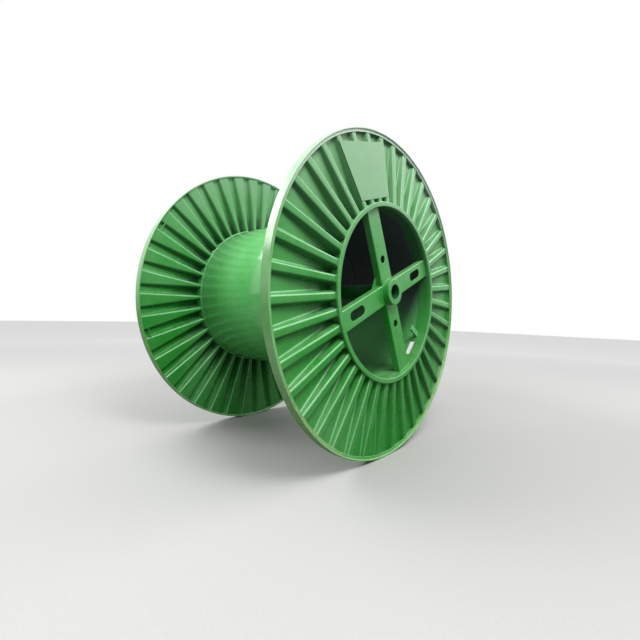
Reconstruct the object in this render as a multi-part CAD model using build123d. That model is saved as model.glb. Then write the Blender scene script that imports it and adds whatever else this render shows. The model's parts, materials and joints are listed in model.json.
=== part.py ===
from build123d import *
import os
from itertools import pairwise
from math import ceil, cos, hypot, radians, sin, sqrt, tan

# All-steel cable drum with fan-folded flanges, lying on its two rims. Millimetres.
# The origin is on the drum's axis, halfway between the flanges. Y is the axis, the front
# flange is at -Y, and +Z is up. A flange is worked out in a frame of its own: y = 0 at the
# outer face of its rim, +y towards the winding space.

# Driving sizes of the whole drum
flange_diameter = 3150.0
overall_width = 2100.0
barrel_diameter = 1700.0
barrel_wall = 6.0

# Rim: a rolled bar around the flange, its front edge proud of a flat lip on the ridge ends
rim_width = 82.0
rim_wall = 12.0
rim_edge_height = 15.0
rim_lip_reach = 38.0
rim_lip_wall = 6.0

# Fan-folded disc: flat valleys with ridges of constant width, higher towards the barrel
ridge_count = 40
ridge_top_width = 62.0
ridge_rise_at_ring = 30.0
ridge_wall_run = 24.0
wall_folds = 5
valley_depth = 60.0
sheet = 3.0
front_ridge_phase = 5.95
rear_ridge_phase = 1.1

# End ring: a pressed cap over the barrel's edge, with a deep inner skirt
ring_reach_in = 14.0
ring_reach_out = 31.0
ring_projection = 49.0
ring_depth = 150.0
ring_wall = 8.0

# Centre tube right through the drum, and the hub around each of its ends
centre_tube_diameter = 159.0
centre_tube_wall = 6.0
hub_diameter = 255.0
hub_projection = 68.0
hub_length = 193.0

# Cross of channels that carries each hub, with a gusset in each of its corners
arm_recess = 48.0
arm_angle = 23.0
slotted_arm_width = 192.0
plain_arm_width = 200.0
arm_leg = 70.0
arm_web = 8.5
pin_hole_diameter = 77.0
pin_hole_from_hub = 208.5
slot_length = 227.0
slot_width = 92.0
slot_from_ring = 266.0
gusset_side = 88.0
gusset_sheet = 8.0

# Bare plate that lies on four ridges of the front flange, the last of them half covered
plate_ridges = 4
plate_from_rim = 127.0
plate_from_ring = 34.0
plate_sheet = 3.0

# Cable inlet through the barrel beside the front disc
inlet_angle = -43.9
inlet_width = 192.0
inlet_length = 56.0
inlet_corner = 12.0

# Angle with two holes that stands on the ring's skirt and holds a cable's end
lug_angle = -31.2
lug_front = 50.0
lug_reach = 160.0
lug_width = 54.0
lug_leg = 28.0
lug_sheet = 6.0
lug_hole_diameter = 15.0
lug_hole_spacing = 58.0

# Lashing bars across the mouth of two grooves of the rear disc
bar_diameter = 12.0
bar_from_lip = 32.0
upper_bar_ridge = 17
lower_bar_ridge = 22

# Clearance for cutting tools, so that no cut ends flush with a face
over = 10.0

# Values worked out from the driving sizes
rim_radius = flange_diameter / 2
barrel_radius = barrel_diameter / 2
ring_inner_radius = barrel_radius - ring_reach_in
ring_outer_radius = barrel_radius + ring_reach_out
barrel_inner_radius = barrel_radius - barrel_wall
hub_radius = hub_diameter / 2
centre_tube_radius = centre_tube_diameter / 2
disc_radius = rim_radius - rim_wall
lip_radius = rim_radius - rim_lip_reach
lip_back = rim_edge_height + rim_lip_wall
ridge_end = sqrt(lip_radius**2 - (ridge_top_width / 2) ** 2)
bar_radius = lip_radius - bar_from_lip
ridge_pitch = 360.0 / ridge_count
skirt_end = ring_depth - ring_projection
arm_front = arm_recess - ring_projection
arm_back = arm_front + arm_leg
pin_hole_radius = hub_radius + pin_hole_from_hub
slot_radius = ring_inner_radius - slot_from_ring
plate_outer_chord = rim_radius - plate_from_rim
plate_inner_chord = ring_outer_radius + plate_from_ring


def turned(*outline):
    """Turn a closed outline of (radius, y) points about the drum's axis."""
    return revolve(make_face(Polyline(*outline, close=True)), Axis.Y)


def tube(inner, outer, start, end):
    """Plain tube about the drum's axis, from y = start to y = end."""
    return turned((inner, start), (outer, start), (outer, end), (inner, end))


def ridge_top(radius):
    """Height y of the ridges' flat top at a radius: a straight line from the rim's lip to the ring."""
    share = (ridge_end - radius) / (ridge_end - ring_outer_radius)
    return lip_back - (lip_back + ridge_rise_at_ring) * share


def rim():
    """Rolled bar with the flat lip that covers the ends of the ridges."""
    return turned(
        (disc_radius, 0),
        (rim_radius, 0),
        (rim_radius, rim_width),
        (disc_radius, rim_width),
        (disc_radius, lip_back),
        (lip_radius, lip_back),
        (lip_radius, rim_edge_height),
        (disc_radius, rim_edge_height),
    )


def half_section(radius, skin):
    """Corners of one half of a ridge's hat section, its skin taken off top and wall."""
    top = ridge_top(radius)
    height = valley_depth - top
    lean = ridge_wall_run / height
    across = skin * hypot(ridge_wall_run, height) / height
    half_top = ridge_top_width / 2 + lean * skin - across
    back = valley_depth + (over if skin else 0)
    half_base = half_top + lean * (back - top - skin)
    return [(radius, back, 0), (radius, back, half_base), (radius, top + skin, half_top), (radius, top + skin, 0)]


def ridge(skin):
    """Straight ridge along +X from the barrel to past the rim, its walls in flat folds."""
    start = barrel_radius - 3 * over
    step = (disc_radius + over - start) / wall_folds
    sections = [half_section(start + step * number, skin) for number in range(wall_folds + 1)]
    faces = [Face(Wire.make_polygon(section)) for section in (sections[0], sections[-1])]
    for near, far in pairwise(sections):
        for side in range(4):
            after = (side + 1) % 4
            faces.append(Face(Wire.make_polygon([near[side], near[after], far[side]])))
            faces.append(Face(Wire.make_polygon([near[after], far[after], far[side]])))
    half = Solid(Shell(faces))
    return half + mirror(half, Plane.XY)


def folded_disc(phase):
    """One sheet folded into a fan: its valleys are flat wedges, its ridges run radially."""
    valleys = tube(barrel_radius, disc_radius, valley_depth - sheet, valley_depth)
    bounds = tube(barrel_radius, disc_radius, -ring_projection, valley_depth + over)
    angles = [phase + ridge_pitch * number for number in range(ridge_count)]
    outside = ridge(0)
    inside = ridge(sheet)
    raised = valleys.fuse(*[outside.rotate(Axis.Y, -angle) for angle in angles])
    hollow = raised.cut(*[inside.rotate(Axis.Y, -angle) for angle in angles])
    return hollow & bounds


def inlet_cutter():
    """Block that cuts the cable inlet, just behind the disc."""
    outline = Plane.YZ * Pos(valley_depth + inlet_length / 2, 0) * RectangleRounded(
        inlet_length, inlet_width, inlet_corner
    )
    block = extrude(outline, amount=rim_radius)
    return block.rotate(Axis.Y, -inlet_angle)


def end_ring():
    """Cap over the barrel's edge: an outer collar on the ridges and a deep inner skirt."""
    collar_inside = ring_outer_radius - ring_wall
    skirt_outside = ring_inner_radius + ring_wall
    face = -ring_projection
    seat = ridge_top(sqrt(collar_inside**2 - (ridge_top_width / 2) ** 2))
    return turned(
        (ring_inner_radius, face),
        (ring_outer_radius, face),
        (ring_outer_radius, seat),
        (collar_inside, seat),
        (collar_inside, face + ring_wall),
        (skirt_outside, face + ring_wall),
        (skirt_outside, skirt_end),
        (ring_inner_radius, skirt_end),
    )


def hub():
    """Thick collar around the centre tube's end, flush with it."""
    start = -hub_projection
    return tube(centre_tube_radius, hub_radius, start, start + hub_length)


def channel(angle, width):
    """Channel from the hub to the end ring, web outwards and both legs inwards."""
    body = Pos(0, arm_front + arm_leg / 2, 0) * Box(2 * rim_radius, arm_leg, width)
    room = Pos(0, arm_front + arm_web + arm_leg / 2, 0) * Box(2 * rim_radius, arm_leg, width - 2 * arm_web)
    reach = tube(hub_radius, ring_inner_radius, arm_front - over, arm_back + over)
    half = Pos(rim_radius / 2, 0, 0) * Box(rim_radius, rim_width * 4, 2 * width)
    return ((body - room) & reach & half).rotate(Axis.Y, -angle)


def along_arm(radius, angle):
    """Place on an arm's web, looking along the drum's axis."""
    place = (radius * cos(radians(angle)), 0, radius * sin(radians(angle)))
    return Pos(*place) * Rot(0, -angle, 0) * Rot(90, 0, 0)


def slotted_arm(angle):
    """Channel with one long slot in its web."""
    slot = extrude(SlotOverall(slot_length, slot_width), amount=2 * rim_width, both=True)
    return channel(angle, slotted_arm_width) - along_arm(slot_radius, angle) * slot


def plain_arm(angle):
    """Channel with one round hole in its web, cut back where the slotted arms pass."""
    hole = Cylinder(pin_hole_diameter / 2, 4 * rim_width)
    passing = Box(slotted_arm_width, 4 * rim_width, 2 * rim_radius).rotate(Axis.Y, -angle)
    return channel(angle, plain_arm_width) - passing - along_arm(pin_hole_radius, angle) * hole


def gusset(right, up):
    """Triangle in the corner between two arms; right and up are its side of the cross, +1 or -1."""
    corner = (right * plain_arm_width / 2, up * slotted_arm_width / 2)
    outline = Polyline(
        (corner[0], arm_back, corner[1]),
        (corner[0] + right * gusset_side, arm_back, corner[1]),
        (corner[0], arm_back, corner[1] + up * gusset_side),
        close=True,
    )
    plate = extrude(make_face(outline), amount=gusset_sheet, dir=(0, -1, 0))
    return plate.rotate(Axis.Y, -arm_angle)


def plate_panel():
    """Bare trapezoid of sheet on the tops of neighbouring ridges, up to the middle of the last one."""
    half_span = radians(ridge_pitch * (plate_ridges - 1) / 2)
    middle = front_ridge_phase + ridge_pitch * (ceil(90 / ridge_pitch) + (plate_ridges - 1) / 2)
    inner_right = plate_inner_chord * tan(half_span)
    outer_right = plate_outer_chord * tan(half_span)
    beyond = ridge_top_width / 2
    nearest = radians(ridge_pitch / 2 if plate_ridges % 2 == 0 else 0)
    edge = ridge_top_width / 2 * sin(nearest)
    inner_seat = ridge_top((plate_inner_chord - edge) / cos(nearest))
    outer_seat = ridge_top((plate_outer_chord - edge) / cos(nearest))
    corners = [
        (plate_inner_chord, inner_seat, -inner_right),
        (plate_outer_chord, outer_seat, -outer_right),
        (plate_outer_chord, outer_seat, outer_right + beyond),
        (plate_inner_chord, inner_seat, inner_right + beyond),
    ]
    face = make_face(Polyline(*corners, close=True))
    plate = extrude(face, amount=plate_sheet, dir=(0, -1, 0))
    return plate.rotate(Axis.Y, -middle)


def barrel():
    """Plain barrel from end ring to end ring."""
    reach = overall_width / 2 + ring_projection - ring_wall
    return tube(barrel_inner_radius, barrel_radius, -reach, reach)


def centre_tube():
    """Pipe from hub face to hub face, its bore open for the spindle."""
    reach = overall_width / 2 + hub_projection
    return tube(centre_tube_radius - centre_tube_wall, centre_tube_radius, -reach, reach)


def cable_lug():
    """Short angle that stands on the inside of the ring's skirt, its holed leg to the front."""
    tip = ring_inner_radius - lug_reach
    middle = ring_inner_radius - lug_reach / 2
    outline = Polyline(
        (lug_front, -lug_width / 2),
        (lug_front, lug_width / 2),
        (lug_front + lug_sheet, lug_width / 2),
        (lug_front + lug_sheet, lug_sheet - lug_width / 2),
        (lug_front + lug_leg, lug_sheet - lug_width / 2),
        (lug_front + lug_leg, -lug_width / 2),
        close=True,
    )
    bar = Pos(tip, 0, 0) * extrude(Plane.YZ * make_face(outline), amount=2 * lug_reach)
    space = tube(barrel_radius / 2, ring_inner_radius, 0, skirt_end)
    for side in (-1, 1):
        hole = Cylinder(lug_hole_diameter / 2, 4 * lug_front)
        bar -= Pos(middle + side * lug_hole_spacing / 2, 0, 0) * Rot(90, 0, 0) * hole
    return (bar & space).rotate(Axis.Y, -lug_angle)


def lashing_bar(number):
    """Round bar across the mouth of the groove behind a ridge."""
    place = Pos(bar_radius, valley_depth - bar_diameter / 2, 0)
    bar = place * Cylinder(bar_diameter / 2, 4 * ridge_top_width)
    angle = rear_ridge_phase + ridge_pitch * number
    return (bar & ridge(sheet)).rotate(Axis.Y, -angle)


def front(solid):
    """Move a flange's piece to the front end."""
    return Pos(0, -overall_width / 2, 0) * solid


def rear(solid):
    """Mirror a flange's piece to the rear end."""
    return mirror(front(solid), Plane.XZ)


pieces = {
    "barrel": barrel() - front(inlet_cutter()),
    "front_rim": front(rim()),
    "rear_rim": rear(rim()),
    "front_folded_disc": front(folded_disc(front_ridge_phase)),
    "rear_folded_disc": rear(folded_disc(rear_ridge_phase)),
    "front_end_ring": front(end_ring() - inlet_cutter()),
    "rear_end_ring": rear(end_ring()),
    "centre_tube": centre_tube(),
    "front_hub": front(hub()),
    "rear_hub": rear(hub()),
    "front_slotted_arm_right": front(slotted_arm(arm_angle)),
    "front_slotted_arm_left": front(slotted_arm(arm_angle + 180)),
    "front_plain_arm_upper": front(plain_arm(arm_angle + 90)),
    "front_plain_arm_lower": front(plain_arm(arm_angle + 270)),
    "rear_slotted_arm_right": rear(slotted_arm(arm_angle)),
    "rear_slotted_arm_left": rear(slotted_arm(arm_angle + 180)),
    "rear_plain_arm_upper": rear(plain_arm(arm_angle + 90)),
    "rear_plain_arm_lower": rear(plain_arm(arm_angle + 270)),
    "front_gusset_upper_right": front(gusset(1, 1)),
    "front_gusset_upper_left": front(gusset(-1, 1)),
    "front_gusset_lower_left": front(gusset(-1, -1)),
    "front_gusset_lower_right": front(gusset(1, -1)),
    "rear_gusset_upper_right": rear(gusset(1, 1)),
    "rear_gusset_upper_left": rear(gusset(-1, 1)),
    "rear_gusset_lower_left": rear(gusset(-1, -1)),
    "rear_gusset_lower_right": rear(gusset(1, -1)),
    "plate_panel": front(plate_panel()),
    "cable_lug": front(cable_lug()),
    "rear_lashing_bar_upper": rear(lashing_bar(upper_bar_ridge)),
    "rear_lashing_bar_lower": rear(lashing_bar(lower_bar_ridge)),
}

os.makedirs("parts", exist_ok=True)
for name, piece in pieces.items():
    export_step(piece, f"parts/{name}.step")
    print(name, "volume", round(piece.volume), "solids", len(piece.solids()))
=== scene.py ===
import json
import math
import random

import bmesh
import bpy
from mathutils import Matrix, Vector, noise


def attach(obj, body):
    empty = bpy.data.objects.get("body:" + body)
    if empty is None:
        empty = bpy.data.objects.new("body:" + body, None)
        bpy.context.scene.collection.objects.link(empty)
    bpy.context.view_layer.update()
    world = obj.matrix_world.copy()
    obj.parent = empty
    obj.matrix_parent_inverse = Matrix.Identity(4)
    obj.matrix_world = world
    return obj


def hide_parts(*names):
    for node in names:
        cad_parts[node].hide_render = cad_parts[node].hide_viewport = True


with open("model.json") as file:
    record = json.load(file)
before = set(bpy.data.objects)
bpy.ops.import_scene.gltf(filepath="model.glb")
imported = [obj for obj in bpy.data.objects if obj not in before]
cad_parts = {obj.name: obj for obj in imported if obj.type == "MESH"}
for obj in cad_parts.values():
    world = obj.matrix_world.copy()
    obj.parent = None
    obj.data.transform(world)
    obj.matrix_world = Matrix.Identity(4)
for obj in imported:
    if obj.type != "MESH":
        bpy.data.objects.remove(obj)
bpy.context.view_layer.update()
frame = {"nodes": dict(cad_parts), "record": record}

# Sizes of the drum, in metres, and angles in degrees. A flange is worked out in a frame of its
# own: depth 0 at the outer face of its rim, growing towards the winding space.
half_width = 1.05
flange_radius = 1.575
barrel_radius = 0.85
barrel_wall = 0.006

rim_width = 0.082
rim_wall = 0.012
rim_edge_height = 0.015
rim_lip_reach = 0.038
rim_lip_wall = 0.006

ridge_count = 40
ridge_half_top = 0.031
ridge_rise_at_ring = 0.030
ridge_wall_run = 0.024
ridge_phase = {"front": 5.95, "rear": 1.1}
valley_depth = 0.060
sheet = 0.003
fold_radius = 0.020

ring_reach_in = 0.014
ring_reach_out = 0.031
ring_projection = 0.049
ring_wall = 0.008
skirt_end = 0.101

hub_radius = 0.1275
hub_projection = 0.068
hub_length = 0.193
centre_tube_radius = 0.0795
centre_tube_wall = 0.006

arm_angle = 23
arm_front = -0.001
arm_leg = 0.070
arm_web = 0.0085
slotted_arm_width = 0.192
plain_arm_width = 0.200
slotted_arm_start = 0.05
pin_hole_radius = 0.0385
pin_hole_from_hub = 0.2085
slot_length = 0.227
slot_width = 0.092
slot_from_ring = 0.266

inlet_angle = -43.9
inlet_width = 0.192
inlet_length = 0.056
inlet_corner = 0.012

# Sizes worked out from these
lip_back = rim_edge_height + rim_lip_wall
lip_radius = flange_radius - rim_lip_reach
disc_radius = flange_radius - rim_wall
valley_floor = valley_depth - sheet
ring_inner_radius = barrel_radius - ring_reach_in
ring_outer_radius = barrel_radius + ring_reach_out
pin_hole_place = hub_radius + pin_hole_from_hub
slot_place = ring_inner_radius - slot_from_ring
inlet_middle = valley_depth + inlet_length / 2

# Small forms that only the looks need
most_of_valley = 0.9
most_of_wall = 0.9
disc_wave = 0.0010
disc_wave_scale = 3.0
disc_wave_start = {"front": 3.0, "rear": 8.0}
ring_weld_radius = 0.0042
arm_weld_radius = 0.0036
rim_weld_radius = 0.0045
barrel_weld_radius = 0.005
seam_radius = 0.0035
weld_ripple = 0.007
barrel_weld_ripple = 0.010
long_weld_ripple = 0.012
lip_ripple = 0.008
weld_stand_off = 0.001
weld_passes = 2
all_around = 359.5
cutter_reach = 0.2
round_gap = 0.0005
arm_past_ring = 0.024

# Camera of the photograph, as solved from the two rims and the ridges, angles in radians
image_width_px = 640
focal_px = 374.23
sensor_mm = 36.0
optical_centre_rise_px = 34
camera_from_near_rim = Vector((-2.0519, -1.2273, -0.1600)) * flange_radius
camera_yaw = 0.8479
camera_pitch = 0.0783
camera_roll = 0.0310

# Lamps: place, target, width and height, power in watts
lamps = {
    "overhead": ((-2.5, -5.0, 5.8), (0, -0.8, 0), (3, 3), 430),
    "front_right": ((5.0, -4.6, 5.0), (0, -1.05, 0.9), (6, 4), 230),
    "left_behind": ((-5.6, 3.8, 4.6), (-0.9, -0.6, 0.3), (3.0, 3.6), 280),
    "high_behind": ((-3.0, 5.5, 6.0), (-0.4, 0, 0.6), (5, 3.5), 260),
}

# Floor and sky
floor_reach = 40
floor_dark_speck = (0.450, 0.447, 0.442, 1)
floor_pale_speck = (0.470, 0.467, 0.460, 1)
floor_far = (0.92, 0.92, 0.92, 1)
floor_as_light = (0.16, 0.16, 0.16, 1)
sky_at_horizon = 0.12
sky_overhead = 1.05

# Colours that several paints share
# Paler green for the painted sheen high up and for random chalking
sheen_and_chalk_green = (0.27, 0.41, 0.285, 1)
# Painted highlight along edges
edge_highlight_green = (0.14, 0.46, 0.17, 1)
# Painted highlight on folds that turn towards the sky
shine_green = (0.36, 0.76, 0.42, 1)
dust_colour = (0.42, 0.45, 0.38, 1)
scuff_colour = (0.40, 0.50, 0.21, 1)
rust_colour = (0.13, 0.06, 0.03, 1)

# How strongly the shared effects show in every paint
# The edge and fold strengths below are of painted highlights
edge_highlight_strength = 0.55
shine_strength = 0.7
sheet_waves = 0.3
bump_strength = 0.35
bump_distance = 0.002
dust_roughness = 0.5
rust_roughness = 0.4


# Node helpers


class Nodes:
    """Short way to write a node tree: each call adds a node and links what it is given."""

    def __init__(self, tree):
        self.tree = tree

    def add(self, kind, settings=None, **inputs):
        node = self.tree.nodes.new(kind)
        for name, value in (settings or {}).items():
            setattr(node, name, value)
        for name, value in inputs.items():
            self.feed(node, name.replace("_", " "), value)
        return node

    def feed(self, node, name, value):
        socket = node.inputs[int(name)] if name.isdigit() else node.inputs[name]
        if isinstance(value, bpy.types.NodeSocket):
            self.tree.links.new(value, socket)
        else:
            socket.default_value = value

    def math(self, operation, *values, clamp=False):
        node = self.add("ShaderNodeMath", {"operation": operation, "use_clamp": clamp})
        for index, value in enumerate(values):
            self.feed(node, str(index), value)
        return node.outputs[0]

    def plus(self, one, two, clamp=False):
        return self.math("ADD", one, two, clamp=clamp)

    def minus(self, one, two):
        return self.math("SUBTRACT", one, two)

    def times(self, product, *factors, clamp=False):
        for factor in factors:
            product = self.math("MULTIPLY", product, factor, clamp=clamp)
        return product

    def ramp(self, value, low, high, start=0.0, end=1.0):
        """From start at low to end at high, and no further."""
        node = self.add("ShaderNodeMapRange", Value=value)
        for name, limit in (("From Min", low), ("From Max", high), ("To Min", start), ("To Max", end)):
            self.feed(node, name, limit)
        return node.outputs[0]

    def mix(self, share, one, two):
        node = self.add("ShaderNodeMix", {"data_type": "RGBA"})
        self.feed(node, "0", share)
        self.feed(node, "6", one)
        self.feed(node, "7", two)
        return node.outputs[2]

    def place(self):
        return self.add("ShaderNodeTexCoord").outputs["Object"]

    def place_axes(self):
        return self.add("ShaderNodeSeparateXYZ", Vector=self.place()).outputs

    def normal(self):
        return self.add("ShaderNodeNewGeometry").outputs["Normal"]

    def normal_axes(self):
        return self.add("ShaderNodeSeparateXYZ", Vector=self.normal()).outputs

    def from_axis(self):
        """Distance from the drum's axis."""
        x, _, z = self.place_axes()
        return self.math("SQRT", self.plus(self.times(x, x), self.times(z, z)))

    def from_middle(self):
        """Distance from the middle of the drum's width."""
        return self.math("ABSOLUTE", self.place_axes()[1])

    def on_outside(self):
        """1 on what faces away from the middle of the drum's width, 0 on what faces it."""
        return self.math("GREATER_THAN", self.times(self.normal_axes()[1], self.place_axes()[1]), 0.0)

    def cloud(self, scale, detail, roughness=0.55):
        """Soft noise through the whole drum."""
        look = {"Scale": scale, "Detail": detail, "Roughness": roughness}
        return self.add("ShaderNodeTexNoise", Vector=self.place(), **look).outputs["Fac"]


number_socket = "NodeSocketFloat"
colour_socket = "NodeSocketColor"


def group(name, inputs, outputs):
    """New shader node group: its nodes, the sockets of its inputs and the node that takes its outputs."""
    tree = bpy.data.node_groups.new(name, "ShaderNodeTree")
    for label, kind in inputs.items():
        tree.interface.new_socket(label, in_out="INPUT", socket_type=kind)
    for label, kind in outputs.items():
        tree.interface.new_socket(label, in_out="OUTPUT", socket_type=kind)
    return Nodes(tree), tree.nodes.new("NodeGroupInput").outputs, tree.nodes.new("NodeGroupOutput")


# Effects that the paints share


def make_paint_tone():
    """Uneven enamel, paler and duller high up as painted sheen, and paler and duller in random patches of
    chalking.
    """
    inputs = {"Paint": colour_socket, "Chalked": colour_socket, "Chalking": number_socket}
    nodes, given, out = group("paint_tone", inputs, {"Colour": colour_socket, "Roughness": number_socket})
    broad = nodes.cloud(1.7, 4.0)
    fine = nodes.cloud(14.0, 5.0, 0.6)
    height = nodes.ramp(nodes.place_axes()[2], 0.0, 1.5)
    patchy = nodes.plus(nodes.times(height, 0.7), nodes.times(nodes.ramp(broad, 0.4, 0.7), 0.3), clamp=True)
    sheen_and_chalk = nodes.times(patchy, given["Chalking"])
    base = nodes.mix(sheen_and_chalk, given["Paint"], given["Chalked"])
    shade = nodes.plus(nodes.ramp(broad, 0.3, 0.7, 0.90, 1.05), nodes.ramp(fine, 0.3, 0.7, -0.035, 0.035))
    shaded = nodes.add("ShaderNodeHueSaturation", Value=shade, Color=base)
    nodes.feed(out, "Colour", shaded.outputs[0])
    rough = nodes.ramp(fine, 0.3, 0.7, 0.20, 0.30)
    nodes.feed(out, "Roughness", nodes.plus(rough, nodes.times(sheen_and_chalk, 0.3)))
    return nodes.tree


def make_edge_mask():
    """Painted highlight on folds and cut edges, broken up a little."""
    nodes, given, out = group("edge_highlight_mask", {"Reach": number_socket}, {"Mask": number_socket})
    rounded_normal = nodes.add("ShaderNodeBevel", {"samples": 6}, Radius=given["Reach"]).outputs[0]
    dot = nodes.add("ShaderNodeVectorMath", {"operation": "DOT_PRODUCT"})
    nodes.feed(dot, "0", rounded_normal)
    nodes.feed(dot, "1", nodes.normal())
    turned = nodes.ramp(dot.outputs["Value"], 0.995, 0.86)
    broken = nodes.ramp(nodes.cloud(30.0, 4.0), 0.30, 0.52, 0.45, 1.0)
    nodes.feed(out, "Mask", nodes.times(turned, broken, clamp=True))
    return nodes.tree


def make_dust():
    """Patches of pale dust on what faces up."""
    nodes, given, out = group("settled_dust", {"Amount": number_socket}, {"Mask": number_socket})
    up = nodes.ramp(nodes.normal_axes()[2], 0.35, 0.95)
    patches = nodes.ramp(nodes.cloud(9.0, 5.0, 0.65), 0.38, 0.72)
    nodes.feed(out, "Mask", nodes.times(up, patches, given["Amount"]))
    return nodes.tree


def make_ground_wear():
    """Scuffs low on the drum, where it has rolled, and a few rusty chips anywhere."""
    inputs = {"Scuffs": number_socket, "Chips": number_socket}
    nodes, given, out = group("ground_wear", inputs, {"Scuffed": number_socket, "Chipped": number_socket})
    height = nodes.place_axes()[2]
    low = nodes.times(nodes.ramp(height, -0.2, -1.1), nodes.ramp(height, -1.50, -1.25))
    streaks = nodes.ramp(nodes.cloud(22.0, 6.0, 0.7), 0.42, 0.66)
    nodes.feed(out, "Scuffed", nodes.times(low, streaks, given["Scuffs"]))
    spots = nodes.ramp(nodes.cloud(48.0, 3.0, 0.5), 0.735, 0.76)
    nodes.feed(out, "Chipped", nodes.times(spots, given["Chips"]))
    return nodes.tree


def make_orange_peel():
    """Fine pebble of sprayed enamel over slight waves in the sheet."""
    nodes, given, out = group("orange_peel", {"Waves": number_socket}, {"Height": number_socket})
    peel = nodes.times(nodes.cloud(160.0, 2.0), 0.015)
    waves = nodes.times(nodes.cloud(5.0, 2.0, 0.4), given["Waves"])
    nodes.feed(out, "Height", nodes.plus(peel, waves))
    return nodes.tree


def make_groove_shade():
    """Painted shade deep in the fan's grooves, stronger towards the barrel, and on walls that face down."""
    nodes, given, out = group("groove_shade", {"Amount": number_socket}, {"Mask": number_socket})
    depth = nodes.from_middle()
    outside = nodes.on_outside()
    sunk_outside = nodes.times(nodes.ramp(depth, 1.035, 0.993), outside)
    sunk_inside = nodes.times(nodes.ramp(depth, 1.0, 1.06), nodes.minus(1.0, outside))
    ragged = nodes.times(nodes.minus(nodes.cloud(7.0, 4.0), 0.5), 0.30)
    inward = nodes.ramp(nodes.plus(nodes.from_axis(), ragged), 1.22, 0.90)
    sunk_shade = nodes.times(nodes.plus(sunk_outside, sunk_inside), inward)
    facing_down = nodes.times(nodes.ramp(nodes.normal_axes()[2], -0.25, -0.75), 0.75)
    nodes.feed(out, "Mask", nodes.times(nodes.math("MAXIMUM", sunk_shade, facing_down), given["Amount"]))
    return nodes.tree


def make_fold_shine():
    """Painted highlight: a bright line on folds and rounded edges that turn towards the sky, fainter in
    hollow folds.
    """
    nodes, given, out = group("fold_shine", {"Amount": number_socket}, {"Mask": number_socket})
    x, y, z = nodes.normal_axes()
    facing = nodes.math("ABSOLUTE", y)
    turned = nodes.times(nodes.ramp(facing, 0.985, 0.955), nodes.ramp(facing, 0.54, 0.60), clamp=True)
    skyward = nodes.ramp(nodes.minus(z, nodes.times(x, 0.28)), 0.12, 0.42)
    broken = nodes.ramp(nodes.cloud(4.0, 2.0), 0.30, 0.55, 0.55, 1.0)
    depth = nodes.from_middle()
    outside = nodes.on_outside()
    hollow_outside = nodes.times(nodes.ramp(depth, 1.020, 1.000, 0.0, 0.30), outside)
    hollow_inside = nodes.times(nodes.ramp(depth, 1.004, 1.026, 0.0, 0.85), nodes.minus(1.0, outside))
    raised = nodes.minus(nodes.minus(1.0, hollow_outside), hollow_inside)
    nodes.feed(out, "Mask", nodes.times(turned, skyward, nodes.times(broken, given["Amount"]), raised))
    return nodes.tree


effects = {
    "tone": make_paint_tone(),
    "shine": make_fold_shine(),
    "groove": make_groove_shade(),
    "edge": make_edge_mask(),
    "dust": make_dust(),
    "wear": make_ground_wear(),
    "peel": make_orange_peel(),
}


def use(nodes, effect, **inputs):
    """Put a shared effect into a material, and give its outputs."""
    return nodes.add("ShaderNodeGroup", {"node_tree": effects[effect]}, **inputs).outputs


# Paints


class Enamel:
    """Sprayed enamel on steel, with painted sheen high up and random chalking, painted highlights on edges
    and folds, dust, scuffs and chips.
    """

    def __init__(self, name, fresh, sheen_and_chalk_colour, sheen_and_chalk_share, edge=edge_highlight_green, edge_highlight_reach=0.004,
                 scuffs=0.1, chips=0.25, dust=0.3, gloss=0.3):
        self.material = bpy.data.materials.new(name)
        self.material.use_nodes = True
        self.shader = self.material.node_tree.nodes["Principled BSDF"]
        self.nodes = Nodes(self.material.node_tree)
        nodes = self.nodes
        # Paint tone: painted sheen high up, and random chalking
        tone = use(nodes, "tone", Paint=fresh, Chalked=sheen_and_chalk_colour, Chalking=sheen_and_chalk_share)
        dusty = use(nodes, "dust", Amount=dust)["Mask"]
        wear = use(nodes, "wear", Scuffs=scuffs, Chips=chips)
        self.colour = tone["Colour"]
        # Painted highlight along edges
        self.cover(nodes.times(use(nodes, "edge", Reach=edge_highlight_reach)["Mask"], edge_highlight_strength), edge)
        # Painted highlight on folds
        self.cover(use(nodes, "shine", Amount=shine_strength)["Mask"], shine_green)
        self.cover(dusty, dust_colour)
        self.cover(wear["Scuffed"], scuff_colour)
        self.cover(wear["Chipped"], rust_colour)
        rough = nodes.plus(tone["Roughness"], nodes.times(dusty, dust_roughness))
        rough = nodes.plus(rough, nodes.times(wear["Chipped"], rust_roughness), clamp=True)
        nodes.feed(self.shader, "Roughness", rough)
        height = use(nodes, "peel", Waves=sheet_waves)["Height"]
        bump = nodes.add("ShaderNodeBump", Height=height, Strength=bump_strength, Distance=bump_distance)
        nodes.feed(self.shader, "Normal", bump.outputs[0])
        self.shader.inputs["Specular IOR Level"].default_value = gloss

    def cover(self, share, colour):
        """Lay another colour over the paint, as far as the share says."""
        self.colour = self.nodes.mix(share, self.colour, colour)
        self.nodes.feed(self.shader, "Base Color", self.colour)


def make_rim_paint():
    """Glossy, with the most painted sheen and chalking of all, and painted light on what faces down near
    the top.
    """
    enamel = Enamel(
        "rim_enamel", (0.085, 0.400, 0.060, 1), (0.46, 0.57, 0.48, 1), 0.95,
        edge=(0.20, 0.52, 0.24, 1), scuffs=0.80, chips=0.2, gloss=1.0,
    )
    nodes = enamel.nodes
    # Painted light on what faces down near the top
    high = nodes.ramp(nodes.place_axes()[2], 0.6, 1.4)
    facing_down = nodes.ramp(nodes.normal_axes()[2], -0.3, -0.8)
    enamel.cover(nodes.times(high, facing_down, clamp=True), (0.66, 0.76, 0.74, 1))
    return enamel.material


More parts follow.
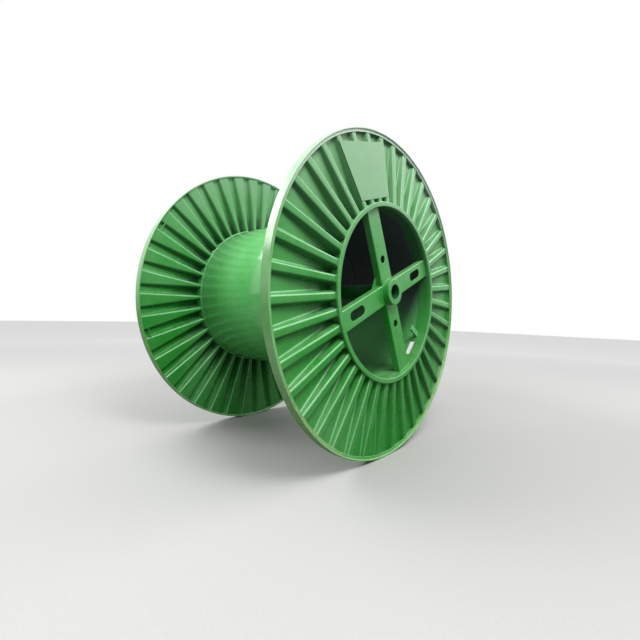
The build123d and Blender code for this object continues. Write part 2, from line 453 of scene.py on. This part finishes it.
def make_disc_paint():
    """Deep green, with painted shade in the grooves."""
    enamel = Enamel(
        "disc_enamel", (0.032, 0.310, 0.040, 1), sheen_and_chalk_green, 0.65,
        edge_highlight_reach=0.008, scuffs=0.05,
    )
    # Painted shade in the grooves and on walls that face down
    enamel.cover(use(enamel.nodes, "groove", Amount=0.78)["Mask"], (0.010, 0.046, 0.024, 1))
    return enamel.material


def make_ring_paint():
    """Painted shade on the upper part of the skirt, behind the face."""
    enamel = Enamel("ring_enamel", (0.046, 0.340, 0.056, 1), sheen_and_chalk_green, 0.80, edge_highlight_reach=0.005)
    nodes = enamel.nodes
    # Painted shade on the upper part of the skirt
    behind = nodes.ramp(nodes.from_middle(), 1.085, 1.045)
    upper = nodes.ramp(nodes.place_axes()[2], -0.25, 0.35, 0.0, 0.80)
    enamel.cover(nodes.times(behind, upper), (0.026, 0.075, 0.040, 1))
    return enamel.material


def make_arm_paint():
    return Enamel("arm_enamel", (0.040, 0.350, 0.050, 1), sheen_and_chalk_green, 0.75, edge_highlight_reach=0.007).material


def make_plate_paint():
    return Enamel("plate_enamel", (0.05, 0.29, 0.06, 1), (0.22, 0.375, 0.23, 1), 0.8, chips=0.0).material


def make_lug_paint():
    """Painted light: paler than the ring that the lug stands on."""
    enamel = Enamel(
        "lit_lug_enamel", (0.17, 0.52, 0.22, 1), (0.30, 0.60, 0.34, 1), 0.5,
        edge=(0.45, 0.75, 0.50, 1), edge_highlight_reach=0.006, scuffs=0.0,
    )
    return enamel.material


def make_tube_paint():
    # Painted shade: darker than the arms, for the centre tube deep inside the barrel
    enamel = Enamel(
        "shaded_tube_enamel", (0.010, 0.110, 0.026, 1), (0.02, 0.16, 0.04, 1), 0.3,
        edge=(0.03, 0.25, 0.06, 1), scuffs=0.3,
    )
    return enamel.material


def make_barrel_paint():
    """Glossy outside, in a brighter green than the flanges as painted sheen. Inside dull and dark, green
    low down and blue-black above.
    """
    enamel = Enamel(
        "barrel_enamel", (0.100, 0.500, 0.118, 1), (0.33, 0.62, 0.35, 1), 0.65,
        scuffs=0.0, chips=0.0, dust=0.1, gloss=1.0,
    )
    nodes = enamel.nodes
    middle_of_wall = barrel_radius - barrel_wall / 2
    half_change = 0.0005
    inside = nodes.ramp(nodes.from_axis(), middle_of_wall + half_change, middle_of_wall - half_change)
    ragged = nodes.times(nodes.minus(nodes.cloud(6.0, 4.0), 0.5), 0.16)
    upper = nodes.ramp(nodes.plus(nodes.place_axes()[2], nodes.times(ragged, 2.0)), -0.35, 0.12)
    from_end = nodes.minus(nodes.from_middle(), nodes.times(upper, 0.16))
    deep = nodes.ramp(nodes.plus(from_end, ragged), 0.99, 0.75)
    inner = nodes.mix(upper, (0.005, 0.135, 0.014, 1), (0.034, 0.036, 0.060, 1))
    enamel.cover(nodes.times(inside, deep), inner)
    outer_roughness = nodes.ramp(nodes.cloud(6.0, 3.0), 0.3, 0.7, 0.09, 0.14)
    nodes.feed(enamel.shader, "Roughness", nodes.ramp(inside, 0.0, 1.0, outer_roughness, 0.85))
    return enamel.material


paints = {
    "rim_green": make_rim_paint(),
    "disc_green": make_disc_paint(),
    "ring_green": make_ring_paint(),
    "arm_green": make_arm_paint(),
    "plate_green": make_plate_paint(),
    "barrel_green": make_barrel_paint(),
    "lit_lug_green": make_lug_paint(),
    "shaded_tube_green": make_tube_paint(),
}


# Mesh helpers


def rounded(corners, steps=4):
    """Closed outline whose corners (a, b, radius) are replaced by arcs."""
    points = []
    for index, (a, b, radius) in enumerate(corners):
        here = Vector((a, b))
        if radius == 0:
            points.append(here)
            continue
        back = (Vector(corners[index - 1][:2]) - here).normalized()
        on = (Vector(corners[(index + 1) % len(corners)][:2]) - here).normalized()
        half = back.angle(on) / 2
        reach = radius / math.tan(half)
        middle = here + (back + on).normalized() * (radius / math.sin(half))
        start = here + back * reach - middle
        end = here + on * reach - middle
        turn = start.angle_signed(end)
        for step in range(steps + 1):
            points.append(middle + Matrix.Rotation(-turn * step / steps, 2) @ start)
    return [(point.x, point.y) for point in points]


def rounded_rectangle(length, width, corner, steps):
    """Closed outline of a rectangle around the middle, with rounded corners."""
    a, b = length / 2, width / 2
    return rounded([(-a, -b, corner), (a, -b, corner), (a, b, corner), (-a, b, corner)], steps)


def rounded_line(corners):
    """Open line with rounded corners: closed by two corners far behind it, which are taken off again."""
    behind = corners[-1][1] + 1
    closed = rounded([*corners, (corners[-1][0], behind, 0), (corners[0][0], behind, 0)])
    return closed[:-2]


def smooth(mesh, sharp=35):
    """Smooth shading up to an angle."""
    mesh.polygons.foreach_set("use_smooth", [True] * len(mesh.polygons))
    mesh.set_sharp_from_angle(angle=math.radians(sharp))


def show(name, mesh):
    """New object of a mesh."""
    piece = bpy.data.objects.new(name, mesh)
    bpy.context.scene.collection.objects.link(piece)
    return piece


def new_piece(name, vertices, faces, sharp=35):
    """New object of points and faces, shaded smooth up to an angle."""
    mesh = bpy.data.meshes.new(name)
    mesh.from_pydata(vertices, [], faces)
    mesh.validate()
    smooth(mesh, sharp)
    return show(name, mesh)


def outward(piece):
    """Turn all faces outwards."""
    work = bmesh.new()
    work.from_mesh(piece.data)
    bmesh.ops.recalc_face_normals(work, faces=work.faces)
    work.to_mesh(piece.data)
    work.free()
    return piece


def band(here, there, count):
    """Faces between two closed rings of points, which start at the indices here and there."""
    faces = []
    for k in range(count):
        after = (k + 1) % count
        faces.append((here + k, here + after, there + after, there + k))
    return faces


def lathe(name, outline, segments):
    """Solid of revolution about the drum's axis, from (radius, y) points."""
    count = len(outline)
    vertices = []
    for step in range(segments):
        angle = 2 * math.pi * step / segments
        vertices += [(r * math.cos(angle), y, r * math.sin(angle)) for r, y in outline]
    faces = []
    for step in range(segments):
        faces += band(step * count, (step + 1) % segments * count, count)
    return outward(new_piece(name, vertices, faces))


def tube_outline(inner, outer, reach):
    """Section of a tube, as (radius, y) points."""
    return [(inner, -reach), (outer, -reach), (outer, reach), (inner, reach)]


def prism(name, near, far):
    """Solid between two outlines of as many points."""
    count = len(near)
    faces = band(0, count, count)
    faces += [tuple(range(count)), tuple(range(2 * count - 1, count - 1, -1))]
    return outward(new_piece(name, [*near, *far], faces))


def bar_along(name, outline, start, end):
    """Closed (across, y) outline run along x, from start to end."""
    near, far = ([(x, y, across) for across, y in outline] for x in (start, end))
    return prism(name, near, far)


def plug(name, length, width, corner):
    """Cutter with a rounded rectangular outline in x and z, running along y."""
    outline = rounded_rectangle(length, width, corner, 10)
    near, far = ([(x, y, z) for x, z in outline] for y in (-cutter_reach, cutter_reach))
    return prism(name, near, far)


def keep_modifiers(piece, sharp=35):
    """Bake the modifiers of a piece into its mesh."""
    bpy.context.view_layer.update()
    graph = bpy.context.evaluated_depsgraph_get()
    mesh = bpy.data.meshes.new_from_object(piece.evaluated_get(graph))
    piece.modifiers.clear()
    piece.data = mesh
    smooth(mesh, sharp)


def carve(piece, cutter, operation="DIFFERENCE"):
    """Apply a boolean and delete the cutter."""
    modifier = piece.modifiers.new("cut", "BOOLEAN")
    modifier.operation = operation
    modifier.solver = "EXACT"
    modifier.object = cutter
    keep_modifiers(piece)
    bpy.data.objects.remove(cutter, do_unlink=True)


def soften(piece, edge):
    """Small radius on the sharp edges."""
    modifier = piece.modifiers.new("edges", "BEVEL")
    modifier.width = edge
    modifier.segments = 2
    modifier.limit_method = "ANGLE"
    modifier.angle_limit = math.radians(40)
    modifier.use_clamp_overlap = False
    modifier.harden_normals = True


def turn_about_axis(piece, degrees):
    """Turn a piece about the drum's axis, from x towards z."""
    piece.data.transform(Matrix.Rotation(-math.radians(degrees), 4, "Y"))


def at_end(piece, end):
    """Put a flange's piece at the front end, or mirrored at the rear end."""
    if end == "front":
        piece.data.transform(Matrix.Translation((0, -half_width, 0)))
    else:
        piece.data.transform(Matrix.Translation((0, half_width, 0)) @ Matrix.Scale(-1, 4, (0, 1, 0)))
        piece.data.flip_normals()
    return piece


slots = {part["node"]: part["material_slot"] for part in frame["record"]["subparts"]}


def finish_piece(piece, node=None, slot=None, paint=None):
    """Give a piece its paint and its place on the drum, flat faces shaded flat between rounded edges."""
    slot = slot or slots[node]
    flatten = piece.modifiers.new("shading", "WEIGHTED_NORMAL")
    flatten.mode = "FACE_AREA"
    flatten.weight = 100
    flatten.keep_sharp = True
    piece.data.materials.clear()
    piece.data.materials.append(paints[paint or slot])
    if node:
        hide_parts(node)
    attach(piece, "root")


# Flange pieces


def ridge_directions(end):
    return [ridge_phase[end] + 360 / ridge_count * ridge for ridge in range(ridge_count)]


def ridge_top(reach):
    """Depth of the ridges' flat top at a distance along the ridge."""
    ridge_end = math.sqrt(lip_radius**2 - ridge_half_top**2)
    share = (ridge_end - reach) / (ridge_end - ring_outer_radius)
    return lip_back - (lip_back + ridge_rise_at_ring) * share


def half_profile(radius):
    """Half of a ridge's section with rounded folds: (across, depth) from its middle to the valley's."""
    top = ridge_top(radius)
    foot = ridge_half_top + ridge_wall_run * (valley_floor - top) / (valley_depth - top)
    middle = radius * math.tan(math.pi / ridge_count)
    lower_fold = min(fold_radius, (middle - foot) * most_of_valley)
    return rounded_line([
        (0, top, 0),
        (ridge_half_top, top, fold_radius),
        (foot, valley_floor, lower_fold),
        (middle, valley_floor, 0),
    ])


def disc_ring(end, radius):
    """Points of the folded sheet all around, at one radius."""
    half = half_profile(radius)
    valley_middle = half[-1][0]
    section = [(-across, depth) for across, depth in reversed(half[1:-1])] + half
    wave_start = Vector((disc_wave_start[end], 0, 0))
    points = []
    for direction in ridge_directions(end):
        centre = math.radians(direction)
        for across, depth in section:
            beside = math.asin(across / radius) if across < valley_middle else math.pi / ridge_count
            angle = centre + beside
            place = Vector((radius * math.cos(angle), 0, radius * math.sin(angle)))
            wave = noise.noise(place * disc_wave_scale + wave_start) * disc_wave
            points.append((place.x, depth + wave, place.z))
    return points


def make_disc(end):
    """Sheet folded into the fan, with real fold radii and a thickness."""
    radii = [barrel_radius, 0.870, 0.905, 0.97, 1.05, 1.15, 1.25, 1.35, 1.44, 1.51, 1.548, disc_radius]
    rings = [disc_ring(end, radius) for radius in radii]
    count = len(rings[0])
    faces = []
    for k in range(len(rings) - 1):
        faces += band(k * count, (k + 1) * count, count)
    piece = new_piece(f"{end}_disc_sheet", [point for ring in rings for point in ring], faces, 60)
    if piece.data.polygons[0].normal.y < 0:
        piece.data.flip_normals()
    thick = piece.modifiers.new("sheet", "SOLIDIFY")
    thick.thickness = sheet
    thick.offset = 1
    thick.use_even_offset = True
    keep_modifiers(piece, 60)
    finish_piece(at_end(piece, end), f"{end}_folded_disc")


def make_rim(end):
    edge, small_edge, inner_corner = 0.004, 0.002, 0.003
    outline = rounded([
        (disc_radius, 0, edge),
        (flange_radius, 0, edge),
        (flange_radius, rim_width, edge),
        (disc_radius, rim_width, small_edge),
        (disc_radius, lip_back, 0),
        (lip_radius, lip_back, small_edge),
        (lip_radius, rim_edge_height, small_edge),
        (disc_radius, rim_edge_height, inner_corner),
    ], 3)
    piece = lathe(f"{end}_rim_bar", outline, segments=300)
    finish_piece(at_end(piece, end), f"{end}_rim")


def inlet_cutter():
    """Block through the barrel beside the front disc."""
    block = plug("inlet_cutter", inlet_width, inlet_length, inlet_corner)
    upright = Matrix.Rotation(math.radians(90), 4, "Z") @ Matrix.Rotation(math.radians(90), 4, "Y")
    block.data.transform(upright)
    block.data.transform(Matrix.Translation((barrel_radius, inlet_middle, 0)))
    turn_about_axis(block, inlet_angle)
    return block


def make_ring(end):
    """Flat face over the barrel's edge, a collar down to the ridges and a skirt into the barrel."""
    edge, collar_edge, skirt_edge = 0.006, 0.0015, 0.002
    face = -ring_projection
    collar_inside = ring_outer_radius - ring_wall
    skirt_outside = ring_inner_radius + ring_wall
    seat = ridge_top(math.sqrt(collar_inside**2 - ridge_half_top**2))
    outline = rounded([
        (ring_inner_radius, face, edge),
        (ring_outer_radius, face, edge),
        (ring_outer_radius, seat, collar_edge),
        (collar_inside, seat, collar_edge),
        (collar_inside, face + ring_wall, 0),
        (skirt_outside, face + ring_wall, 0),
        (skirt_outside, skirt_end, skirt_edge),
        (ring_inner_radius, skirt_end, skirt_edge),
    ], 3)
    piece = lathe(f"{end}_ring_cap", outline, segments=220)
    if end == "front":
        carve(piece, inlet_cutter())
    finish_piece(at_end(piece, end), f"{end}_end_ring")


def make_hub(end):
    bore_edge, face_edge, back_edge = 0.002, 0.006, 0.004
    back = hub_length - hub_projection
    outline = rounded([
        (centre_tube_radius, -hub_projection, bore_edge),
        (hub_radius, -hub_projection, face_edge),
        (hub_radius, back, back_edge),
        (centre_tube_radius, back, bore_edge),
    ])
    piece = lathe(f"{end}_hub_collar", outline, segments=96)
    finish_piece(at_end(piece, end), f"{end}_hub", paint="arm_green")


def channel_outline(width):
    """Folded channel: (across, y) with fold radii on its corners."""
    outer_fold, inner_fold, leg_edge = 0.010, 0.003, 0.0015
    half = width / 2
    inner = half - arm_web
    back = arm_front + arm_leg
    web_back = arm_front + arm_web
    return rounded([
        (-half, arm_front, outer_fold),
        (half, arm_front, outer_fold),
        (half, back, leg_edge),
        (inner, back, leg_edge),
        (inner, web_back, inner_fold),
        (-inner, web_back, inner_fold),
        (-inner, back, leg_edge),
        (-half, back, leg_edge),
    ])


def arm_space():
    """Thick round band between the hub and the ring's skirt, which an arm's ends are cut to."""
    clear = 0.3
    return lathe("arm_space", tube_outline(hub_radius, ring_inner_radius, clear), segments=220)


def make_arm(end, name, turn, width, start, cutter, cutter_place):
    """Channel from the hub to the ring, with the cutter's opening in its web."""
    uncut_end = ring_inner_radius + arm_past_ring
    piece = bar_along(f"{end}_{name}_channel", channel_outline(width), start, uncut_end)
    carve(piece, arm_space(), "INTERSECT")
    cutter.data.transform(Matrix.Translation((cutter_place, 0, 0)))
    carve(piece, cutter)
    turn_about_axis(piece, turn)
    at_end(piece, end)
    soften(piece, edge=0.0012)
    finish_piece(piece, f"{end}_{name}")


def make_slotted_arm(end, side, turn):
    cutter = plug("slot_cutter", slot_length, slot_width, slot_width / 2 - round_gap)
    make_arm(end, f"slotted_arm_{side}", turn, slotted_arm_width, slotted_arm_start, cutter, slot_place)


def make_plain_arm(end, side, turn):
    across = 2 * pin_hole_radius
    cutter = plug("hole_cutter", across, across, pin_hole_radius - round_gap)
    make_arm(end, f"plain_arm_{side}", turn, plain_arm_width, slotted_arm_width / 2, cutter, pin_hole_place)


# Barrel and centre tube


def make_barrel():
    reach = half_width + ring_projection - ring_wall
    outline = tube_outline(barrel_radius - barrel_wall, barrel_radius, reach)
    piece = lathe("barrel_shell", outline, segments=200)
    cutter = inlet_cutter()
    cutter.data.transform(Matrix.Translation((0, -half_width, 0)))
    carve(piece, cutter)
    soften(piece, edge=0.0015)
    finish_piece(piece, "barrel")


def make_centre_tube():
    edge = 0.002
    reach = half_width + hub_projection
    corners = tube_outline(centre_tube_radius - centre_tube_wall, centre_tube_radius, reach)
    outline = rounded([(*corner, edge) for corner in corners], 3)
    finish_piece(lathe("centre_pipe", outline, segments=96), "centre_tube", paint="shaded_tube_green")


def dress(node, edge, paint=None):
    """Copy of a small CAD piece with softened edges."""
    same_point, flat = 0.00002, math.radians(0.5)
    work = bmesh.new()
    work.from_mesh(frame["nodes"][node].data)
    bmesh.ops.remove_doubles(work, verts=work.verts, dist=same_point)
    bmesh.ops.dissolve_limit(work, angle_limit=flat, verts=work.verts, edges=work.edges)
    mesh = bpy.data.meshes.new(f"{node}_dressed")
    work.to_mesh(mesh)
    work.free()
    smooth(mesh)
    piece = show(f"{node}_dressed", mesh)
    soften(piece, edge)
    finish_piece(piece, node, paint=paint)


# Weld beads


def bead_mesh(name, paths, radius, seed):
    """Rippled weld beads along paths of points, all one mesh, thinner at both ends of a path."""
    chance = random.Random(seed)
    vertices, faces = [], []
    sides = 6
    for path in paths:
        first = len(vertices)
        last = len(path) - 1
        for index, point in enumerate(path):
            point = Vector(point)
            ahead = (Vector(path[min(last, index + 1)]) - Vector(path[max(0, index - 1)])).normalized()
            side = ahead.orthogonal().normalized()
            other = ahead.cross(side)
            swell = radius * (0.82 + 0.3 * (index % 2) + chance.uniform(-0.1, 0.12))
            if index in (0, last):
                swell *= 0.5
            for k in range(sides):
                angle = 2 * math.pi * k / sides
                vertices.append(point + (side * math.cos(angle) + other * math.sin(angle)) * swell)
        for index in range(last):
            here = first + index * sides
            faces += band(here, here + sides, sides)
        faces.append(tuple(first + k for k in reversed(range(sides))))
        faces.append(tuple(first + last * sides + k for k in range(sides)))
    return outward(new_piece(name, vertices, faces, 80))


def arc(radius, y, start, end, step):
    """Points on a circle about the axis, start and end in degrees, step in metres."""
    count = max(2, round(math.radians(abs(end - start)) * radius / step))
    angles = [math.radians(start + (end - start) * k / count) for k in range(count + 1)]
    return [(radius * math.cos(a), y, radius * math.sin(a)) for a in angles]


def straight(one, two, step):
    """Points on a straight line, step in metres."""
    one, two = Vector(one), Vector(two)
    count = max(2, round((two - one).length / step))
    return [one.lerp(two, k / count) for k in range(count + 1)]


def through(corners, step):
    """Points along straight runs from corner to corner, short of the last one."""
    line = []
    for one, two in zip(corners, corners[1:]):
        line += straight(one, two, step)[:-1]
    return line


def turned_point(along, across, y, turn):
    """Point of an arm's or a ridge's own frame, turned about the axis."""
    a = math.radians(turn)
    return (along * math.cos(a) - across * math.sin(a), y, along * math.sin(a) + across * math.cos(a))


def weld_ridges_to_ring(end):
    """Beads over the ridges' ends: up one wall, across the top and down the other wall."""
    reach = math.sqrt(ring_outer_radius**2 - ridge_half_top**2) + weld_stand_off
    foot_reach = reach - weld_stand_off
    top = ridge_top(reach) - weld_stand_off
    shoulder = ridge_half_top + weld_stand_off
    foot = ridge_half_top + ridge_wall_run * most_of_wall
    foot_depth = valley_floor - 2 * weld_stand_off
    section = [
        (foot_reach, -foot, foot_depth),
        (reach, -shoulder, top),
        (reach, shoulder, top),
        (foot_reach, foot, foot_depth),
    ]
    paths = []
    for turn in ridge_directions(end):
        paths.append(through([turned_point(*corner, turn) for corner in section], weld_ripple))
    beads = bead_mesh(f"{end}_ring_weld", paths, ring_weld_radius, seed=11)
    finish_piece(at_end(beads, end), slot="ring_green")


def weld_arms(end):
    """Beads at the arms' outer ends, around the hub, and in two passes where the arms meet."""
    from_fold, from_axis = 0.004, 0.02
    depth = arm_front - weld_stand_off
    at_ring = ring_inner_radius - 2 * weld_stand_off
    paths = []
    for width, first_turn in ((slotted_arm_width, arm_angle), (plain_arm_width, arm_angle + 90)):
        half = math.degrees(math.asin((width / 2 - from_fold) / ring_inner_radius))
        for turn in (first_turn, first_turn + 180):
            paths.append(arc(at_ring, depth, turn - half, turn + half, weld_ripple))
    paths.append(arc(hub_radius + weld_stand_off, depth, 0, 359, weld_ripple))
    beside = slotted_arm_width / 2
    for up in (-1, 1):
        for turn in (arm_angle, arm_angle + 180):
            inner = turned_point(from_axis, up * beside, arm_front, turn)
            outer = turned_point(plain_arm_width / 2, up * beside, arm_front, turn)
            paths += [straight(inner, outer, weld_ripple)] * weld_passes
    beads = bead_mesh(f"{end}_arm_weld", paths, arm_weld_radius, seed=12)
    finish_piece(at_end(beads, end), slot="arm_green")


def weld_disc_to_rim(end):
    depth = valley_depth + weld_stand_off
    path = arc(disc_radius - weld_stand_off, depth, 0, all_around, long_weld_ripple)
    beads = bead_mesh(f"{end}_rim_weld", [path], rim_weld_radius, seed=13)
    finish_piece(at_end(beads, end), slot="rim_green")


def weld_disc_to_barrel(end):
    clear = 2 * weld_stand_off
    path = arc(barrel_radius + clear, valley_depth + clear, 0, all_around, barrel_weld_ripple)
    beads = bead_mesh(f"{end}_barrel_weld", [path], barrel_weld_radius, seed=14)
    finish_piece(at_end(beads, end), slot="barrel_green")


def make_barrel_seam():
    """Weld seams inside the barrel, one around its middle and one along its bottom."""
    middle, front, rear = -0.04, -1.0, 0.99
    around = arc(barrel_radius - barrel_wall, middle, 0, all_around, long_weld_ripple)
    along = straight((0, front, -barrel_radius), (0, rear, -barrel_radius), long_weld_ripple)
    seams = bead_mesh("barrel_seam", [around, along], seam_radius, seed=15)
    finish_piece(seams, slot="barrel_green")


def make_inlet_lip():
    """Rolled lip around the cable inlet, on the inside of the ring's skirt."""
    wider, longer = 1.03, 1.08
    radius = ring_inner_radius - weld_stand_off
    outline = rounded_rectangle(inlet_width, inlet_length, inlet_corner, 6)
    line = []
    for across, along in [*outline, outline[0]]:
        angle = math.radians(inlet_angle) + across * wider / radius
        line.append((radius * math.cos(angle), inlet_middle + along * longer, radius * math.sin(angle)))
    lip = bead_mesh("inlet_lip", [through(line, lip_ripple)], seam_radius, seed=16)
    finish_piece(at_end(lip, "front"), slot="ring_green")


# Stage


def add_camera():
    """Camera where the photographer stood."""
    ahead = Vector((
        math.sin(camera_yaw) * math.cos(camera_pitch),
        math.cos(camera_yaw) * math.cos(camera_pitch),
        math.sin(camera_pitch),
    ))
    level = Vector((math.cos(camera_yaw), -math.sin(camera_yaw), 0))
    above = level.cross(ahead)
    right = level * math.cos(camera_roll) + above * math.sin(camera_roll)
    up = above * math.cos(camera_roll) - level * math.sin(camera_roll)
    data = bpy.data.cameras.new("camera")
    data.sensor_width = sensor_mm
    data.lens = focal_px / image_width_px * sensor_mm
    data.shift_y = -optical_centre_rise_px / image_width_px
    camera = bpy.data.objects.new("camera", data)
    turn = Matrix((right, up, -ahead)).transposed().to_4x4()
    camera.matrix_world = Matrix.Translation(camera_from_near_rim + Vector((0, -half_width, 0))) @ turn
    bpy.context.scene.collection.objects.link(camera)
    bpy.context.scene.camera = camera


def add_lamp(name, place, target, size, power):
    """Soft rectangular lamp."""
    data = bpy.data.lights.new(name, "AREA")
    data.shape = "RECTANGLE"
    data.size, data.size_y = size
    data.energy = power
    lamp = bpy.data.objects.new(name, data)
    lamp.visible_camera = False
    ahead = (Vector(target) - Vector(place)).normalized()
    lamp.matrix_world = Matrix.Translation(place) @ ahead.to_track_quat("-Z", "Y").to_matrix().to_4x4()
    bpy.context.scene.collection.objects.link(lamp)


def make_floor_material():
    """Finely speckled and pale, paler far away, and darker in the light that it throws on the drum."""
    material = bpy.data.materials.new("pale_floor")
    material.use_nodes = True
    nodes = Nodes(material.node_tree)
    shader = material.node_tree.nodes["Principled BSDF"]
    speckle = nodes.ramp(nodes.cloud(60.0, 4.0), 0.35, 0.65)
    near = nodes.mix(speckle, floor_dark_speck, floor_pale_speck)
    away = nodes.add("ShaderNodeVectorMath", {"operation": "LENGTH"}, Vector=nodes.place()).outputs["Value"]
    pale = nodes.mix(nodes.ramp(away, 4.0, 14.0), near, floor_far)
    seen = nodes.add("ShaderNodeLightPath").outputs["Is Camera Ray"]
    nodes.feed(shader, "Base Color", nodes.mix(seen, floor_as_light, pale))
    shader.inputs["Roughness"].default_value = 0.75
    return material


def add_floor():
    a = floor_reach
    mesh = bpy.data.meshes.new("floor")
    mesh.from_pydata([(-a, -a, 0), (a, -a, 0), (a, a, 0), (-a, a, 0)], [], [(0, 1, 2, 3)])
    mesh.materials.append(make_floor_material())
    floor = show("floor", mesh)
    floor.location.z = -flange_radius


def add_world():
    """White behind the drum and in its gloss, and an overcast sky's light on it, strongest from above."""
    world = bpy.data.worlds.new("studio")
    bpy.context.scene.world = world
    world.use_nodes = True
    nodes = Nodes(world.node_tree)
    background = world.node_tree.nodes["Background"]
    rays = nodes.add("ShaderNodeLightPath").outputs
    seen = nodes.math("MAXIMUM", rays["Is Camera Ray"], rays["Is Glossy Ray"])
    seen = nodes.math("MAXIMUM", seen, rays["Is Transmission Ray"])
    sky = nodes.add("ShaderNodeSeparateXYZ", Vector=nodes.add("ShaderNodeTexCoord").outputs["Generated"])
    overcast = nodes.ramp(sky.outputs[2], 0.0, 1.0, sky_at_horizon, sky_overhead)
    nodes.feed(background, "Color", (1, 1, 1, 1))
    on_drum = nodes.times(overcast, nodes.minus(1.0, seen))
    nodes.feed(background, "Strength", nodes.math("MAXIMUM", seen, on_drum))


def make_flange(end):
    make_disc(end)
    make_rim(end)
    make_ring(end)
    make_hub(end)
    make_slotted_arm(end, "right", arm_angle)
    make_slotted_arm(end, "left", arm_angle + 180)
    make_plain_arm(end, "upper", arm_angle + 90)
    make_plain_arm(end, "lower", arm_angle + 270)
    weld_ridges_to_ring(end)
    weld_arms(end)
    weld_disc_to_rim(end)
    weld_disc_to_barrel(end)
    for corner in ("upper_right", "upper_left", "lower_left", "lower_right"):
        dress(f"{end}_gusset_{corner}", edge=0.001)


def main():
    add_camera()
    add_floor()
    add_world()
    for name, lamp in lamps.items():
        add_lamp(name, *lamp)
    make_flange("front")
    make_flange("rear")
    make_barrel()
    make_centre_tube()
    make_barrel_seam()
    make_inlet_lip()
    dress("plate_panel", edge=0.0008, paint="plate_green")
    dress("cable_lug", edge=0.0012, paint="lit_lug_green")
    dress("rear_lashing_bar_upper", edge=0.001)
    dress("rear_lashing_bar_lower", edge=0.001)
    bpy.context.scene.view_settings.view_transform = "Standard"


main()
